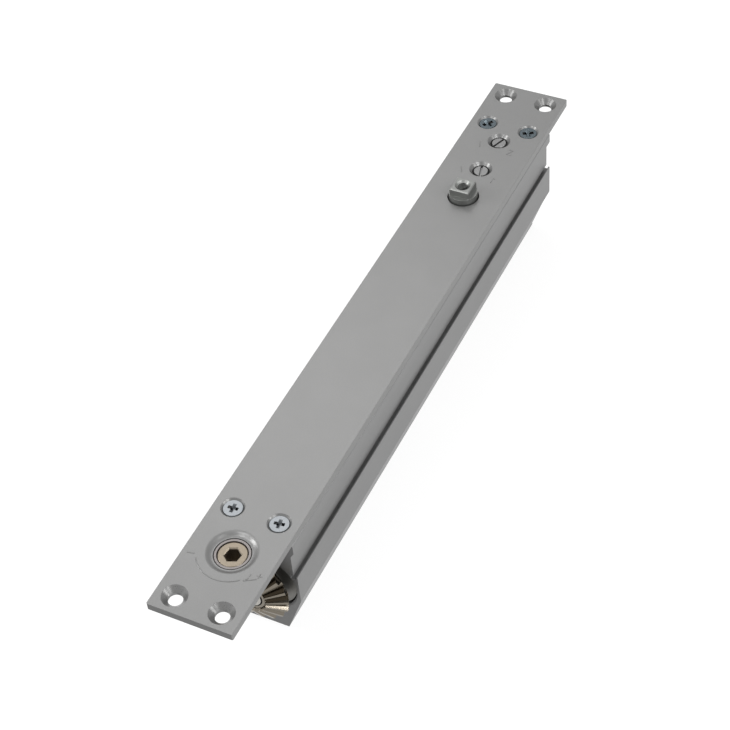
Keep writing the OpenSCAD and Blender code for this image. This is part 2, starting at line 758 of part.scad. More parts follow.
// The same face on the small end, turned to face the other way
function n_turned(f, n) = [for (i = [len(f) - 1:-1:0]) n + f[i]];

module adjuster_pinion() {
    face_z = -hex_sink;
    color([0.68, 0.62, 0.52]) difference() {
        union() {
            translate([apex_x, 0, -axis_depth])
                bevel_teeth(pinion_teeth, pinion_r, pinion_cone, shift);
            upright(apex_x, 0, pinion_back_z - 0.5, thrust_z, pinion_neck_r);
            upright(apex_x, 0, shoulder_z, thrust_z, journal_r + 0.7);
            upright(apex_x, 0, thrust_z, face_z - edge_bevel, journal_r);
            translate([apex_x, 0, face_z - edge_bevel])
                cylinder(h = edge_bevel, r1 = journal_r, r2 = journal_r - edge_bevel);
        }
        translate([apex_x, 0, face_z - hex_depth]) rotate(hex_turn)
            cylinder(h = hex_depth + cut, r = hex_af / 2 / cos(30), $fn = 6);
        upright_ring(apex_x, snap_z, journal_r, snap_r + run_gap);
    }
}

module bevel_gear() {
    color([0.7, 0.66, 0.58]) difference() {
        union() {
            translate([apex_x, 0, -axis_depth]) rotate([0, 90, 0])
                rotate(180 + 180 / gear_teeth) bevel_teeth(gear_teeth, gear_r, gear_cone, -shift);
            translate([apex_x + gear_root_ax, 0, -axis_depth]) rotate([0, 90, 0])
                cylinder(h = gear_disc, r1 = gear_rim_r, r2 = gear_rim_r - gear_disc);
            on_axis(apex_x + gear_front_ax, gear_back_x, gear_hub_r);
        }
        on_axis(apex_x, gear_back_x + cut, shaft_r + seat_gap);
    }
}

module adjusting_screw() {
    color([0.7, 0.7, 0.7]) union() {
        on_axis(apex_x + gear_front_ax - shaft_proud, collar_x, shaft_r);
        on_axis(collar_x, collar_x + collar_t, thrust_r);
        on_axis(collar_x + collar_t, screw_end_x, screw_r);
    }
}

module spring_nut() {
    color([0.6, 0.6, 0.62]) difference() {
        union() {
            on_axis(nut_x, nut_x + nut_len, nut_r);
            translate([nut_x, -key_w / 2, -axis_depth - bore_r - key_h + 0.15])
                cube([nut_len, key_w, bore_r]);
            on_axis(nut_x + nut_len, nut_x + nut_len + 3, spigot_r);
        }
        on_axis(nut_x - cut, nut_x + nut_len + 3 + cut, screw_r + run_gap);
    }
}

// The spring's wire: one tube that follows a helix from the nut to the piston
module main_spring() {
    x0 = nut_x + nut_len + wire_r + 0.05;
    x1 = piston_back - wire_r - 0.05;
    sides = 6;
    rings = coil_turns * 14;
    step = 360 * coil_turns / rings;
    climb = (x1 - x0) / rings;
    wire = [for (i = [0:rings], k = [0:sides - 1]) let(
        a = i * step, c = k * 360 / sides, r = coil_r + wire_r * cos(c))
        [x0 + climb * i + wire_r * sin(c), r * cos(a), r * sin(a)]];
    last = rings * sides;
    color([0.35, 0.36, 0.38]) translate([0, 0, -axis_depth]) polyhedron(points = wire, faces = concat(
        [[for (k = [0:sides - 1]) k]], [[for (k = [sides - 1:-1:0]) last + k]],
        [for (i = [0:rings - 1], k = [0:sides - 1])
            [i * sides + k, (i + 1) * sides + k, (i + 1) * sides + (k + 1) % sides]],
        [for (i = [0:rings - 1], k = [0:sides - 1])
            [i * sides + k, (i + 1) * sides + (k + 1) % sides, i * sides + (k + 1) % sides]]));
}

// A slotted regulating screw with a needle end
module valve_screw(x, turn) {
    foot = -valve_sink - valve_shank_len + face_gap;
    color([0.62, 0.62, 0.6]) translate([x, 0, 0]) rotate(turn) difference() {
        union() {
            upright(0, 0, foot, -valve_sink - valve_bevel, valve_r);
            translate([0, 0, -valve_sink - valve_bevel])
                cylinder(h = valve_bevel, r1 = valve_r, r2 = valve_r - valve_bevel);
            upright(0, 0, foot - valve_needle_len + valve_tip_len, foot, valve_needle_r);
            translate([0, 0, foot - valve_needle_len])
                cylinder(h = valve_tip_len, r1 = 0.5, r2 = valve_needle_r);
        }
        translate([-valve_r - cut, -slot_w / 2, -valve_sink - slot_h])
            cube([2 * valve_r + 2 * cut, slot_w, slot_h + cut]);
        upright_ring(0, valve_seal_z, valve_r, seal_r + seat_gap);
    }
}

// The rubber ring in a valve screw's groove
module valve_seal(x) {
    color([0.1, 0.1, 0.1]) intersection() {
        upright_ring(x, valve_seal_z, valve_r, seal_r);
        upright(x, 0, -axis_depth, 0, valve_r + run_gap / 2);
    }
}

module closing_valve() { valve_screw(closing_x, closing_slot_deg); }
module latching_valve() { valve_screw(latching_x, latching_slot_deg); }
module closing_valve_seal() { valve_seal(closing_x); }
module latching_valve_seal() { valve_seal(latching_x); }

cover_plate();
closer_body();
near_end_plug();
near_plug_seal();
far_end_plug();
far_plug_seal();
upper_bearing_cap();
upper_bearing();
spindle_seal();
lower_bearing();
adjuster_bush();
adjuster_snap_ring();
thrust_washer();
plate_screws_near();
plate_screws_far();
main_spring();
cam_spindle();
spring_piston();
damper_piston();
upper_link_plate();
lower_link_plate();
roller_pins();
piston_seal();
check_valve_ball();
check_valve_cage();
spring_roller();
damper_roller();
adjuster_pinion();
bevel_gear();
adjusting_screw();
spring_nut();
closing_valve();
closing_valve_seal();
latching_valve();
latching_valve_seal();
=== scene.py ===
# %% [markdown]
# # A concealed door closer
#
# The closer hides in a slot cut in the top edge of a door leaf. A silver cover plate carries a long
# extruded body, a square spindle drives the guide arm, and a small bevel gear pair at the near end sets
# the spring's force. The solids come from the CAD model. This lesson gives them their finishes and adds
# the fine detail that the CAD model leaves out: stamped marks, cross recesses, a thread, softer edges at
# the hex and dark gaps round the parts at the near end.

import json
import math

import bmesh
import bpy
from mathutils import Matrix, Vector


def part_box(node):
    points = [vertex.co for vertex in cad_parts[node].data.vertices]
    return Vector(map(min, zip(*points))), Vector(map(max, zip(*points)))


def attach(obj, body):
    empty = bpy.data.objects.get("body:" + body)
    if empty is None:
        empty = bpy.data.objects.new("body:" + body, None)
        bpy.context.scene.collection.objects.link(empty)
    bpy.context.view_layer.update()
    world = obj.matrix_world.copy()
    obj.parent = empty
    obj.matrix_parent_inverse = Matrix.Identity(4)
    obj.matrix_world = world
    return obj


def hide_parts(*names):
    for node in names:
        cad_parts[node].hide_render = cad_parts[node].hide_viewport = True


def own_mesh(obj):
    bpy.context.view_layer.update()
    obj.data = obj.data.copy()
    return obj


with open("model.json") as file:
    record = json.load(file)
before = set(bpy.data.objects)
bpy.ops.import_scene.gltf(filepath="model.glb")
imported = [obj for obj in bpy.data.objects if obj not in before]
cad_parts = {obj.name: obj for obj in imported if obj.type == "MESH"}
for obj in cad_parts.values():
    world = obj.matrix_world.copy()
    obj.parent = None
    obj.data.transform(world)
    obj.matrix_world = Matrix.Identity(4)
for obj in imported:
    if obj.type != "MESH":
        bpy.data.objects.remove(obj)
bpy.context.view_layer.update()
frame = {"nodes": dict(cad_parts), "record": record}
mm = 1000  # millimetres in a metre


# %% [markdown]
# ## The camera
#
# The viewpoint was worked out from the photograph by fitting one perspective camera to the plate's edges
# and its holes. It stands about 670 mm away, above the near end, and leans a few degrees. A lens of 89 mm
# keeps the far end from shrinking more than it does in the photograph.

# %% Camera
eye = Vector((-0.41222, -0.22900, 0.47204))
image_right = Vector((0.43410, -0.89814, -0.07005))
image_up = Vector((0.67431, 0.27238, 0.68638))

camera_data = bpy.data.cameras.new("camera")
camera_data.lens = 88.91
camera_data.sensor_width = 36
camera = bpy.data.objects.new("camera", camera_data)
bpy.context.scene.collection.objects.link(camera)
turn = Matrix((image_right, image_up, image_right.cross(image_up))).transposed()
camera.matrix_world = Matrix.Translation(eye) @ turn.to_4x4()
bpy.context.scene.camera = camera
print("camera to the plate's centre:", round(eye.length, 3), "m")

# %% [markdown]
# ## Small helpers for node trees
#
# Materials and Geometry Nodes are both trees of nodes. One helper adds a node, sets what is named, and
# links an input where it is handed another node's output, so that a tree reads from top to bottom. The
# others stand for the nodes that are used most.


# %% Node helpers
def linear(red, green, blue):
    """A colour as it is seen on screen, from 0 to 1, as the linear colour that Blender mixes."""
    mixed = []
    for channel in (red, green, blue):
        if channel <= 0.04045:
            mixed.append(channel / 12.92)
        else:
            mixed.append(((channel + 0.055) / 1.055) ** 2.4)
    return (*mixed, 1.0)


def add(tree, kind, inputs=None, **settings):
    """Adds a node, sets its settings, and fills or links its inputs."""
    made = tree.nodes.new(kind)
    for name, value in settings.items():
        setattr(made, name, value)
    for key, value in (inputs or {}).items():
        if isinstance(value, bpy.types.NodeSocket):
            tree.links.new(value, made.inputs[key])
        else:
            made.inputs[key].default_value = value
    return made


def scaled(colour, share):
    """A linear colour made lighter or darker."""
    return tuple(min(1.0, channel * share) for channel in colour[:3]) + (1.0,)


def maths(tree, operation, *terms):
    """One step of arithmetic on numbers or outputs."""
    return add(tree, "ShaderNodeMath", dict(enumerate(terms)), operation=operation).outputs[0]


def ramp(tree, value, span, result):
    """Maps an output from one span of numbers to another, and holds it at both ends."""
    start, stop = span
    low, high = result
    made = add(
        tree,
        "ShaderNodeMapRange",
        {"Value": value, "From Min": start, "From Max": stop, "To Min": low, "To Max": high},
    )
    return made.outputs[0]


def blend(tree, share, first, second):
    """Mixes two colours. Inputs 6 and 7 are the mix node's colours."""
    made = add(tree, "ShaderNodeMix", {"Factor": share, 6: first, 7: second}, data_type="RGBA")
    return made.outputs[2]


print("a grey of 0.5 on screen is", round(linear(0.5, 0.5, 0.5)[0], 3), "in linear light")

# %% [markdown]
# ## Floor and background
#
# The photograph has a plain white ground. A plain pale floor would turn grey at a light level that suits
# the metal, so the floor shows white only to the camera and to reflections: a Light Path node picks the
# shader. Part of the floor stays an ordinary matt surface, so the closer keeps its soft shadow.

# %% Floor
floor_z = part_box("closer_body")[0].z
floor_reach = 8
floor_glow = 0.8
white = (1, 1, 1, 1)

floor_signs = ((-1, -1), (1, -1), (1, 1), (-1, 1))
floor_corners = [(x * floor_reach, y * floor_reach, floor_z) for x, y in floor_signs]
floor_mesh = bpy.data.meshes.new("floor")
floor_mesh.from_pydata(floor_corners, [], [(0, 1, 2, 3)])
floor = bpy.data.objects.new("floor", floor_mesh)
bpy.context.scene.collection.objects.link(floor)


def seen_directly(tree):
    """1 where a ray comes straight from the camera, a reflection or a clear surface, else 0."""
    path = add(tree, "ShaderNodeLightPath").outputs
    straight = maths(tree, "MAXIMUM", path["Is Camera Ray"], path["Is Glossy Ray"])
    return maths(tree, "MAXIMUM", straight, path["Is Transmission Ray"])


floor_material = bpy.data.materials.new("pale_floor")
floor_material.use_nodes = True
floor_tree = floor_material.node_tree
floor_tree.nodes.clear()
matt = add(floor_tree, "ShaderNodeBsdfDiffuse", {"Color": (0.8, 0.8, 0.8, 1)})
faint = add(floor_tree, "ShaderNodeBsdfDiffuse", {"Color": (0.3, 0.3, 0.3, 1)})
glow = add(floor_tree, "ShaderNodeEmission", {"Color": white, "Strength": floor_glow})
shown = add(floor_tree, "ShaderNodeAddShader", {0: faint.outputs[0], 1: glow.outputs[0]})
pick = add(
    floor_tree,
    "ShaderNodeMixShader",
    {0: seen_directly(floor_tree), 1: matt.outputs[0], 2: shown.outputs[0]},
)
add(floor_tree, "ShaderNodeOutputMaterial", {"Surface": pick.outputs[0]})
floor_mesh.materials.append(floor_material)
print("floor at z =", round(floor_z, 4), "m")

# %% World
room_light = 0.5
backdrop_light = 1.0

world = bpy.data.worlds.new("studio")
world.use_nodes = True
world_tree = world.node_tree
world_tree.nodes.clear()
room = add(world_tree, "ShaderNodeBackground", {"Color": white, "Strength": room_light})
backdrop = add(world_tree, "ShaderNodeBackground", {"Color": white, "Strength": backdrop_light})
sky = add(
    world_tree,
    "ShaderNodeMixShader",
    {0: seen_directly(world_tree), 1: room.outputs[0], 2: backdrop.outputs[0]},
)
add(world_tree, "ShaderNodeOutputWorld", {"Surface": sky.outputs[0]})
bpy.context.scene.world = world
bpy.context.scene.view_settings.view_transform = "Standard"
print("the world lights the part at", room_light, "and shows white at", backdrop_light)

# %% [markdown]
# ## Lamps
#
# Small metal parts are lit with soft lamps on several sides. The front and right lamps draw the bright
# arcs in the near countersinks; the front one also lights a tooth of the gear, and the right one a wall of
# the hex. The left lamp lights the dish's rim and the far countersinks, and the back lamp the near face of
# the spindle's square. The high lamp is mirrored softly in the whole plate.


# %% Lamps
def soft_lamp(name, place, aim, size, watts):
    """A square area lamp that faces a point."""
    data = bpy.data.lights.new(name, "AREA")
    data.shape = "SQUARE"
    data.size = size
    data.energy = watts
    lamp = bpy.data.objects.new(name, data)
    bpy.context.scene.collection.objects.link(lamp)
    lamp.location = place
    lamp.rotation_euler = (Vector(aim) - Vector(place)).to_track_quat("-Z", "Y").to_euler()


soft_lamp("front_lamp", (-0.30, -0.62, 0.68), aim=(-0.05, 0, 0), size=0.24, watts=2.2)
soft_lamp("right_lamp", (0.12, -0.86, 0.50), aim=(0, 0, 0), size=0.30, watts=1.8)
soft_lamp("left_lamp", (-0.32, 0.80, 0.48), aim=(-0.08, 0, 0), size=0.30, watts=3.2)
soft_lamp("back_lamp", (-0.42, 0.27, 0.65), aim=(0.05, 0, 0), size=0.20, watts=1.2)
soft_lamp("high_lamp", (0.50, 0.39, 0.80), aim=(-0.06, 0, 0), size=0.45, watts=1.5)

# %% [markdown]
# ## Metal finishes
#
# Every metal here has the same make-up: a base tint that wanders slightly over the surface, a grain that
# depends on how the part was made, and edges that are a little rounded and lighter: worn by handling on
# most parts, and a painted highlight along the gear's teeth.
# Grain that runs along the part is noise stretched along X; a cast or painted grain is the same in all
# directions. A Bevel node rounds the edges for the light alone, and its difference from the flat face
# finds the edges that go lighter. Two more masks read the way a face looks, and both paint shade: a face
# that looks along the part, such as an end face, is made darker, and a sloped face of the plate, in a
# countersink or the dish, is made darker and also smoother. The masks read a share of the face's normal,
# which is the cosine of its angle with an axis.

# %% Masks from the way a face looks
bright_edge_span = (0.995, 0.85)


def across_mask(tree, normal):
    """1 on a face that looks along the part, else 0."""
    along_x = maths(tree, "ABSOLUTE", normal[0])
    return ramp(tree, along_x, (0.9, 0.99), (0.0, 1.0))


def slope_mask(tree, normal):
    """1 on a face that slopes, and 0 on a level or an upright one."""
    upward = maths(tree, "ABSOLUTE", normal[2])
    not_level = ramp(tree, upward, (0.95, 0.8), (0.0, 1.0))
    not_upright = ramp(tree, upward, (0.1, 0.4), (0.0, 1.0))
    return maths(tree, "MULTIPLY", not_level, not_upright)


def edge_mask(tree, rounded, flat, most):
    """0 where the rounded normal is the flat one, and up to most where it leaves it at an edge."""
    alike = add(tree, "ShaderNodeVectorMath", {0: rounded, 1: flat}, operation="DOT_PRODUCT")
    return ramp(tree, alike.outputs["Value"], bright_edge_span, (0.0, most))


first_bright_edge, full_bright_edge = [round(math.degrees(math.acos(share)), 1) for share in bright_edge_span]
print("wear starts where an edge has turned", first_bright_edge, "degrees and is full at", full_bright_edge)

# %% One recipe for metal
tint_wander = 0.05
grain_contrast = 0.06
gloss_wander = 0.04
# How much lighter an edge goes: wear on most parts, and a painted highlight on the gear.
wear_and_glint_tone = 1.6
# Painted shade in the plate's countersinks and dish, as a share of the tone.
cut_darker = 0.15
cut_smoother = 0.1
cut_less_grain = 0.7


def metal(name, tint, metallic, roughness, grain, depth, edge=0.00012, wear_and_glint=0.3, ends=1.0, cut=0.0):
    """A metal finish.

    Grain is the noise's scale along X, Y and Z, per metre, and depth the grain's height in metres. Edge is
    the radius of the rounding in metres. The edge share is how far an edge goes to its brighter tone: wear
    on most parts, and a painted highlight on the gear. The end share is painted shade: the tone of a face
    that looks along the part, as a share of the rest. The sink share, from 0 to 1, paints shade into the
    plate's countersinks and dish, and makes them smoother.
    """
    material = bpy.data.materials.new(name)
    material.use_nodes = True
    tree = material.node_tree
    tree.nodes.clear()

    place = add(tree, "ShaderNodeTexCoord").outputs["Object"]
    cloud = add(tree, "ShaderNodeTexNoise", {"Vector": place, "Scale": 60.0, "Detail": 3.0})
    stretch = add(tree, "ShaderNodeMapping", {"Vector": place, "Scale": grain})
    fine = add(tree, "ShaderNodeTexNoise", {"Vector": stretch.outputs[0], "Scale": 1.0, "Detail": 4.0})
    fine_span = (0.3, 0.7)
    rounded = add(tree, "ShaderNodeBevel", {"Radius": edge}, samples=6).outputs[0]
    flat = add(tree, "ShaderNodeNewGeometry").outputs["Normal"]
    normal = add(tree, "ShaderNodeSeparateXYZ", {0: flat}).outputs
    sloped = slope_mask(tree, normal)

    darker = scaled(tint, 1 - tint_wander)
    lighter = scaled(tint, 1 + tint_wander)
    tone = blend(tree, cloud.outputs["Fac"], darker, lighter)
    speck = ramp(tree, fine.outputs["Fac"], fine_span, (1 - grain_contrast, 1 + grain_contrast))
    # Painted shade: a face that looks along the part, such as an end face, is made darker.
    end_shade_share = ramp(tree, across_mask(tree, normal), (0.0, 1.0), (1.0, ends))
    # Painted shade: the plate's sloped faces, in its countersinks and dish, are made darker.
    sink_shade = ramp(tree, sloped, (0.0, 1.0), (1.0, 1.0 - cut_darker * cut))
    shade = maths(tree, "MULTIPLY", maths(tree, "MULTIPLY", end_shade_share, sink_shade), speck)
    toned = add(tree, "ShaderNodeVectorMath", {0: tone, 1: shade}, operation="MULTIPLY").outputs[0]
    # Edges go lighter: worn edges on most parts, and a painted highlight along the gear's teeth.
    colour = blend(tree, edge_mask(tree, rounded, flat, wear_and_glint), toned, scaled(tint, wear_and_glint_tone))

    gloss = ramp(tree, fine.outputs["Fac"], fine_span, (roughness - gloss_wander, roughness + gloss_wander))
    smoother = maths(tree, "MULTIPLY_ADD", sloped, -cut_smoother * cut, gloss)
    grain_left = maths(tree, "MULTIPLY_ADD", sloped, -cut_less_grain * cut, 1.0)
    relief = add(
        tree,
        "ShaderNodeBump",
        {"Height": fine.outputs["Fac"], "Distance": depth, "Strength": grain_left, "Normal": rounded},
    )
    shader = add(
        tree,
        "ShaderNodeBsdfPrincipled",
        {
            "Base Color": colour,
            "Metallic": metallic,
            "Roughness": smoother,
            "Normal": relief.outputs[0],
        },
    )
    add(tree, "ShaderNodeOutputMaterial", {"Surface": shader.outputs[0]})
    return material


print("a tint wanders by", tint_wander, "and the grain changes it by", grain_contrast)

# %% Finishes
along = (60.0, 1600.0, 1600.0)
even = (2600.0, 2600.0, 2600.0)
# Tint on screen, metallic, roughness, grain, and the grain's height in metres
recipes = {
    "plate_silver": ((0.495, 0.495, 0.493), 0.5, 0.40, even, 0.000016),
    "body_aluminium": ((0.52, 0.52, 0.52), 0.6, 0.45, along, 0.000012),
    "plug_aluminium": ((0.47, 0.465, 0.45), 0.85, 0.38, even, 0.000008),
    "machined_steel": ((0.48, 0.48, 0.49), 0.95, 0.32, along, 0.000006),
    "spindle_steel": ((0.5, 0.505, 0.497), 0.8, 0.38, even, 0.000006),
    "nickel_steel": ((0.5, 0.465, 0.415), 0.95, 0.36, even, 0.000005),
    # The gear's copy of nickel steel is glossier and a little darker; the darker tint is painted shade.
    "gear_nickel": ((0.47, 0.445, 0.405), 1.0, 0.16, even, 0.000004),
    "shaft_steel": ((0.66, 0.65, 0.63), 0.9, 0.3, even, 0.000005),
    "bush_steel": ((0.46, 0.443, 0.438), 0.8, 0.34, even, 0.000005),
    "valve_steel": ((0.5, 0.5, 0.5), 0.85, 0.32, even, 0.000006),
    "zinc_screw": ((0.57, 0.585, 0.6), 0.6, 0.42, even, 0.000008),
    "blue_zinc_screw": ((0.35, 0.385, 0.405), 0.85, 0.2, even, 0.000008),
    "spring_steel": ((0.32, 0.33, 0.35), 0.9, 0.38, even, 0.000006),
    "bearing_bronze": ((0.66, 0.52, 0.32), 0.9, 0.36, even, 0.00001),
    "black_rubber": ((0.09, 0.09, 0.09), 0.0, 0.6, even, 0.00001),
}
# In these extras the end and sink shares paint shade, and the gear's large edge share paints a highlight on
# its teeth.
extras = {
    "plate_silver": {"wear_and_glint": 0.05, "ends": 0.5, "cut": 1.0},
    "body_aluminium": {"wear_and_glint": 0.05, "ends": 0.65},
    "gear_nickel": {"edge": 0.0001, "wear_and_glint": 0.8},
    "black_rubber": {"wear_and_glint": 0.0},
}
finishes = {}
for name, (tint, metallic, roughness, grain, depth) in recipes.items():
    extra = extras.get(name, {})
    finishes[name] = metal(name, linear(*tint), metallic, roughness, grain, depth, **extra)
print("finishes:", sorted(finishes))

# %% [markdown]
# ## Dress the CAD nodes
#
# A CAD node keeps its mesh and place. It only gets the finish that the record names for it. The gear gets
# a glossier, slightly darker one of its own: the darker tint is painted shade for its place under the
# plate, and its bright edges are a painted highlight for the rounded edges of its teeth.

# %% Finishes on the CAD nodes
slot_of = {part["node"]: part["material_slot"] for part in frame["record"]["subparts"]}
for name, part in frame["nodes"].items():
    # The gear takes its own finish, with painted shade in its tint and a painted highlight on its edges.
    finish = "gear_nickel" if name == "bevel_gear" else slot_of[name]
    part.data.materials.clear()
    part.data.materials.append(finishes[finish])
print("nodes dressed:", len(slot_of))

# %% [markdown]
# ## Growing pieces with Geometry Nodes
#
# Screws, stamped marks and threads repeat one small shape at several places or along a path, which is what
# Geometry Nodes are for. Each tree has named inputs for its sizes. A seed mesh gives the places, the tree
# does the rest, and the result is kept as a plain mesh whose faces point outwards.

# %% Geometry Nodes helpers
same_place = 1e-7


def new_tree(name, sizes):
    """A tree that takes places, sizes and a finish. Returns it with its input node."""
    tree = bpy.data.node_groups.new(name, "GeometryNodeTree")
    tree.interface.new_socket("Places", in_out="INPUT", socket_type="NodeSocketGeometry")
    for label in sizes:
        tree.interface.new_socket(label, in_out="INPUT", socket_type="NodeSocketFloat")
    tree.interface.new_socket("Finish", in_out="INPUT", socket_type="NodeSocketMaterial")
    tree.interface.new_socket("Made", in_out="OUTPUT", socket_type="NodeSocketGeometry")
    return tree, tree.nodes.new("NodeGroupInput").outputs


def end_tree(tree, given, made):
    """Ends a tree: instances become faces of their own, and the faces get their finish."""
    real = add(tree, "GeometryNodeRealizeInstances", {"Geometry": made})
    finish = given["Finish"]
    dressed = add(tree, "GeometryNodeSetMaterial", {"Geometry": real.outputs[0], "Material": finish})
    add(tree, "NodeGroupOutput", {"Made": dressed.outputs[0]})


def keep_mesh(name, mesh):
    """Merges a mesh's doubles, turns its faces outwards and puts it in the scene as a piece."""
    work = bmesh.new()
    work.from_mesh(mesh)
    bmesh.ops.remove_doubles(work, verts=work.verts, dist=same_place)
    bmesh.ops.recalc_face_normals(work, faces=work.faces)
    work.to_mesh(mesh)
    work.free()
    mesh.name = name
    piece = bpy.data.objects.new(name, mesh)
    bpy.context.scene.collection.objects.link(piece)
    print(name, "has", len(mesh.polygons), "faces")
    return piece


def grow(name, tree, seed, finish, **sizes):
    """Runs a tree on a seed mesh. In a size's name here, a low line stands for a space."""
    start = bpy.data.objects.new(name + "_seed", seed)
    bpy.context.scene.collection.objects.link(start)
    modifier = start.modifiers.new("grow", "NODES")
    modifier.node_group = tree
    values = {key.replace("_", " "): value for key, value in sizes.items()}
    values["Finish"] = finish
    for item in tree.interface.items_tree:
        if item.name in values:
            modifier[item.identifier] = values[item.name]
    ready = start.evaluated_get(bpy.context.evaluated_depsgraph_get())
    mesh = bpy.data.meshes.new_from_object(ready)
    bpy.data.objects.remove(start)
    return keep_mesh(name, mesh)


def middle(node):
    """The middle of a CAD node's box."""
    low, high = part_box(node)
    return (Vector(low) + Vector(high)) / 2


print("the hex stands at x =", round(middle("adjuster_pinion").x, 4), "m")

# %% [markdown]
# ## Cross-recess screws
#
# Four countersunk screws hold the plate to the body. The head is a cone with a short straight rim, which
# leaves a fine dark groove round it, and the recess is two tapered slots that widen where they meet.
# Booleans in the tree cut one screw, and Instance on Points sets it at each place with a turn of its own.
# The CAD screws give the places and the head's radius. The tree works in millimetres, because Booleans are
# surer on larger numbers, and shrinks the finished screw to metres.


# %% Solids in a tree
def frustum(tree, sides, top, bottom, high, low, stretch=None, turn=0.0):
    """A closed cone between two heights, turned about Z and then stretched across."""
    tall = maths(tree, "SUBTRACT", high, low)
    cone = add(
        tree,
        "GeometryNodeMeshCone",
        {"Vertices": sides, "Radius Top": top, "Radius Bottom": bottom, "Depth": tall},
    )
    foot = add(tree, "ShaderNodeCombineXYZ", {2: low})
    placed = add(
        tree,
        "GeometryNodeTransform",
        {"Geometry": cone.outputs[0], "Translation": foot.outputs[0], "Rotation": (0.0, 0.0, turn)},
    )
    if stretch is None:
        return placed.outputs[0]
    across = add(tree, "ShaderNodeCombineXYZ", {0: 1.0, 1: stretch, 2: 1.0})
    wide = add(tree, "GeometryNodeTransform", {"Geometry": placed.outputs[0], "Scale": across.outputs[0]})
    return wide.outputs[0]


def solid(tree, operation, first, others):
    """A union of solids, or the first less the others."""
    made = add(tree, "GeometryNodeMeshBoolean", operation=operation)
    if operation == "DIFFERENCE":
        tree.links.new(first, made.inputs["Mesh 1"])
    else:
        others = [first] + others
    for other in others:
        tree.links.new(other, made.inputs["Mesh 2"])
    return made.outputs[0]


screw_sizes = ("Head radius", "Rim", "Shank radius", "Length", "Arm", "Slot", "Depth")
screw_tree, screw = new_tree("cross_screw", screw_sizes)
print("a screw's sizes:", screw_sizes)

# %% Screw blank
# All in millimetres, apart from the numbers of sides. Each overlap lets one solid run into the next.
head_sides = 64
shank_sides = 48
rim_gap = 0.02
rim_inset = 0.12
rim_overlap = 0.05
shank_gap = 0.03
shank_overlap = 0.4

rim_low = maths(screw_tree, "MULTIPLY", screw["Rim"], -1.0)
cone_depth = maths(screw_tree, "SUBTRACT", screw["Head radius"], screw["Shank radius"])
cone_low = maths(screw_tree, "SUBTRACT", rim_low, cone_depth)
rim_foot = maths(screw_tree, "SUBTRACT", screw["Head radius"], rim_gap)
rim_top = maths(screw_tree, "SUBTRACT", screw["Head radius"], rim_inset)
rim_end = maths(screw_tree, "SUBTRACT", rim_low, rim_overlap)
rim = frustum(screw_tree, head_sides, rim_top, rim_foot, 0.0, rim_end)
cone = frustum(screw_tree, head_sides, screw["Head radius"], screw["Shank radius"], rim_low, cone_low)
shank_r = maths(screw_tree, "SUBTRACT", screw["Shank radius"], shank_gap)
shank_high = maths(screw_tree, "ADD", cone_low, shank_overlap)
shank_low = maths(screw_tree, "MULTIPLY", screw["Length"], -1.0)
shank = frustum(screw_tree, shank_sides, shank_r, shank_r, shank_high, shank_low)
blank = solid(screw_tree, "UNION", rim, [cone, shank])
print("the blank's tree:", len(screw_tree.nodes), "nodes")

# %% Recess
# A taper is a cutter's radius at its top and at its foot, as shares of the arm or the slot.
slot_taper = (0.78, 0.40)
slot_sides = 4
core_taper = (0.92, 0.35)
core_sides = 16
cutter_top = 0.3
core_deeper = 0.1
quarter = math.pi / 2
to_metres = (1 / mm, 1 / mm, 1 / mm)

recess_low = maths(screw_tree, "MULTIPLY", screw["Depth"], -1.0)
slot_low = maths(screw_tree, "ADD", recess_low, core_deeper)
thin = maths(screw_tree, "DIVIDE", screw["Slot"], screw["Arm"])
slot_wide, slot_tight = [maths(screw_tree, "MULTIPLY", screw["Arm"], share) for share in slot_taper]
core_wide, core_tight = [maths(screw_tree, "MULTIPLY", screw["Slot"], share) for share in core_taper]
long_slot = frustum(
    screw_tree, slot_sides, slot_wide, slot_tight, cutter_top, slot_low, stretch=thin, turn=quarter / 2
)
across_slot = add(
    screw_tree, "GeometryNodeTransform", {"Geometry": long_slot, "Rotation": (0.0, 0.0, quarter)}
).outputs[0]
core = frustum(screw_tree, core_sides, core_wide, core_tight, cutter_top, recess_low)
one_screw = blank
for cutter in (core, long_slot, across_slot):
    one_screw = solid(screw_tree, "DIFFERENCE", one_screw, [cutter])
one_screw = add(
    screw_tree, "GeometryNodeTransform", {"Geometry": one_screw, "Scale": to_metres}
).outputs[0]
print("the screw's tree:", len(screw_tree.nodes), "nodes")

# %% Screws in place
head_gap = 0.03
rim_sunk = 0.05
shank_radius = 2.0

turn_of = add(screw_tree, "GeometryNodeInputNamedAttribute", {"Name": "turn"}, data_type="FLOAT")
spin = add(screw_tree, "ShaderNodeCombineXYZ", {2: turn_of.outputs[0]})
facing = add(screw_tree, "FunctionNodeEulerToRotation", {0: spin.outputs[0]})
screws = add(
    screw_tree,
    "GeometryNodeInstanceOnPoints",
    {"Points": screw["Places"], "Instance": one_screw, "Rotation": facing.outputs[0]},
)
end_tree(screw_tree, screw, screws.outputs[0])


